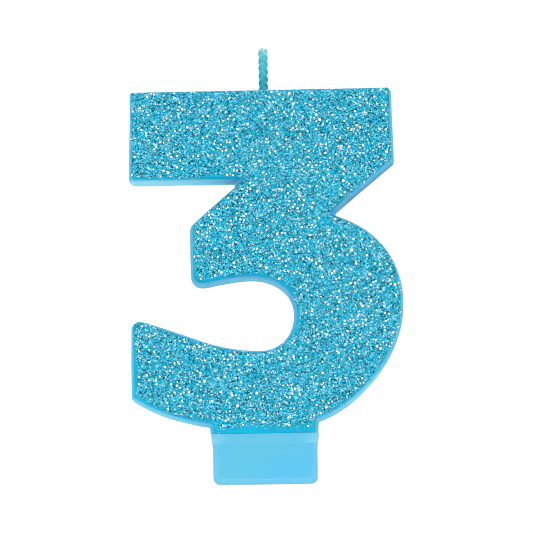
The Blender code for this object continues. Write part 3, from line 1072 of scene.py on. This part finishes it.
def make_wick_wax(shader):
    """The wax the plait is soaked in: it fills the grooves and spreads at the wick's root."""
    root = outline_top()
    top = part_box("wick_yarn_1")[1].z - SLEEVE_UNDER_TIP
    grooves = wave_field(seed=41, wavelength=1.3 * MM)
    reach = np.array([PLAIT_WIDTH, PLAIT_DEPTH]) + YARN_RADIUS - SLEEVE_INSIDE
    rings = []
    steps, sides = 40, 20
    for i in range(steps + 1):
        z = root - SLEEVE_BELOW + (top - root + SLEEVE_BELOW) * i / steps
        spread = WICK_FOOT * math.exp(-max(z - root, 0) / WICK_FOOT_HEIGHT)
        close = 1 - 0.55 * smoothstep(top - SLEEVE_TAPER, top, z) ** 2
        ring = []
        for k in range(sides):
            angle = 2 * math.pi * k / sides
            around = np.array([math.cos(angle), math.sin(angle)])
            flat = around * (reach * close + spread)
            bump = SLEEVE_BUMPS * grooves(np.array([[flat[0], flat[1], z]]))[0]
            flat = flat + around * bump
            ring.append((flat[0], flat[1], z))
        rings.append(ring)
    sleeve = new_object("wick_wax", loft_loops(rings), shader, 60.0)
    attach(sleeve, "candle")


# ---------------------------------------------------------------- holder


def holder_loops():
    """The holder from its base, up the outside, over the rim and down the inside."""
    outer, inner = HOLDER_CORNER, HOLDER_CORNER - HOLDER_WALL
    loops = []
    base_steps, floor_steps = 7, 3
    for i in range(base_steps + 1):
        angle = math.pi / 2 * i / base_steps
        pulled = 1 - math.sin(angle)
        height = HOLDER_BASE_ROUND * (1 - math.cos(angle))
        width = HOLDER_HALF_WIDTH - HOLDER_BASE_ROUND * pulled
        depth = HOLDER_HALF_DEPTH - HOLDER_BASE_SIDE_ROUND * pulled
        loops.append(rounded_rectangle(width, depth, outer, height))
    for z in (*WALL_HEIGHTS, FLARE_START):
        loops.append(rounded_rectangle(HOLDER_HALF_WIDTH, HOLDER_HALF_DEPTH, outer, z))

    top = HOLDER_HEIGHT + RIM_LIFT
    rim = top - RIM_CHAMFER
    for i in range(1, FLARE_STEPS + 1):
        share = i / FLARE_STEPS
        z = FLARE_START + (rim - FLARE_START) * share
        ridge = 0.0
        if z > RIDGE_START:
            ridge = RIDGE_HEIGHT * math.sin(2 * math.pi * (z - RIDGE_START) / RIDGE_PITCH)
        width = HOLDER_HALF_WIDTH + HOLDER_FLARE * share + ridge
        depth = HOLDER_HALF_DEPTH + HOLDER_FLARE_DEPTH * share + ridge
        loops.append(rounded_rectangle(width, depth, outer, z))
    rim_width, rim_depth = HOLDER_HALF_WIDTH + HOLDER_FLARE, HOLDER_HALF_DEPTH + HOLDER_FLARE_DEPTH
    rim_wall = HOLDER_WALL - LEAD_IN
    for pulled, corner in ((RIM_CHAMFER, outer), (rim_wall - RIM_CHAMFER, inner)):
        loops.append(rounded_rectangle(rim_width - pulled, rim_depth - pulled, corner, top))
    loops.append(rounded_rectangle(rim_width - rim_wall, rim_depth - rim_wall, inner, rim))

    width, depth = HOLDER_HALF_WIDTH - HOLDER_WALL, HOLDER_HALF_DEPTH - HOLDER_WALL
    for z in (LEAD_IN_START, *WALL_HEIGHTS[::-1], HOLDER_FLOOR + FLOOR_ROUND_HEIGHT):
        loops.append(rounded_rectangle(width, depth, inner, z))
    for i in range(1, floor_steps + 1):
        angle = math.pi / 2 * i / floor_steps
        pulled = FLOOR_ROUND_WIDTH * (1 - math.cos(angle))
        height = HOLDER_FLOOR + FLOOR_ROUND_HEIGHT * (1 - math.sin(angle))
        loops.append(rounded_rectangle(width - pulled, depth - pulled, inner, height))
    return loops


def make_holder(shader):
    holder = new_object("clear_holder", loft_loops(holder_loops()), shader, 45.0)
    points = mesh_points(holder)
    lip = smoothstep(*LIP_LIGHT, points[:, 2])
    ends = smoothstep(*LIP_ENDS, np.abs(points[:, 0] - HOLDER_X))
    set_values(holder, "lip", lip * (0.2 + 0.8 * ends))
    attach(holder, "holder")
    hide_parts("holder")


# ---------------------------------------------------------------- stage


def make_camera():
    data = bpy.data.cameras.new("camera")
    data.sensor_width = SENSOR
    data.lens = SENSOR * CAMERA_DISTANCE / FRAME_WIDTH
    data.clip_start, data.clip_end = 0.1, 20.0
    camera = bpy.data.objects.new("camera", data)
    bpy.context.scene.collection.objects.link(camera)
    flat = math.cos(CAMERA_ELEVATION)
    across, forward = math.sin(CAMERA_AZIMUTH) * flat, -math.cos(CAMERA_AZIMUTH) * flat
    back = Vector((across, forward, math.sin(CAMERA_ELEVATION)))
    camera.location = CAMERA_TARGET + back * CAMERA_DISTANCE
    camera.rotation_mode = "QUATERNION"
    aim = (-back).to_track_quat("-Z", "Y")
    camera.rotation_quaternion = aim @ Quaternion((0, 0, 1), CAMERA_ROLL)
    bpy.context.scene.camera = camera
    return back


def make_floor(shader):
    shape = bmesh.new()
    bmesh.ops.create_grid(shape, x_segments=24, y_segments=24, size=2.0)
    floor = new_object("floor", shape, shader)
    floor.location.z = -0.02 * MM


# Angle from the direction of the camera in degrees, and the studio's brightness there
STUDIO = ((0, 0.10), (8, 0.12), (14, 1.0), (22, 1.55), (55, 1.35), (90, 0.95), (180, 0.9))


def make_world(towards_camera):
    """Soft studio surroundings: bright all round, but for a darker gap in the direction of the camera."""
    world = bpy.data.worlds.new("studio")
    bpy.context.scene.world = world
    world.use_nodes = True
    world.node_tree.nodes.clear()
    made = Nodes(world.node_tree)
    place = made.node("TexCoord").outputs["Generated"]
    along = made.node("VectorMath", {0: place, 1: towards_camera}, operation="DOT_PRODUCT")
    angle = made.math("ARCCOSINE", along.outputs["Value"])
    brightest = max(value for _, value in STUDIO)
    stops = [(degrees / 180, (value / brightest,) * 3) for degrees, value in STUDIO]
    light = made.ramp(made.math("DIVIDE", angle, math.pi), stops)
    level = made.map(made.node("SeparateXYZ", {0: place}).outputs["Z"], -1.0, 1.0, 0.8, 1.2)
    strength = made.math("MULTIPLY", level, brightest)
    studio = made.node("Background", {"Color": light, "Strength": strength}).outputs["Background"]
    backdrop = made.node("Background", {"Color": (1, 1, 1, 1)}).outputs["Background"]
    rays = made.node("LightPath").outputs
    seen = made.math("MAXIMUM", rays["Is Camera Ray"], rays["Is Transmission Ray"])
    made.node("OutputWorld", {"Surface": made.blend(seen, studio, backdrop)})
    world.cycles.sampling_method = "MANUAL"
    world.cycles.sample_map_resolution = 512


def main():
    scene = bpy.context.scene
    scene.view_settings.view_transform = "Standard"
    scene.cycles.filter_width = 0.9
    make_world(make_camera())
    make_floor(floor_material())

    make_holder(plastic_material())
    make_wax(wax_material())
    coat = make_coat(lacquer_material())
    make_flakes(coat)
    cotton = wick_material()
    draw = np.random.default_rng(7)
    for index in range(3):
        make_yarn(index, cotton, draw)
    make_wick_wax(wick_wax_material())


main()
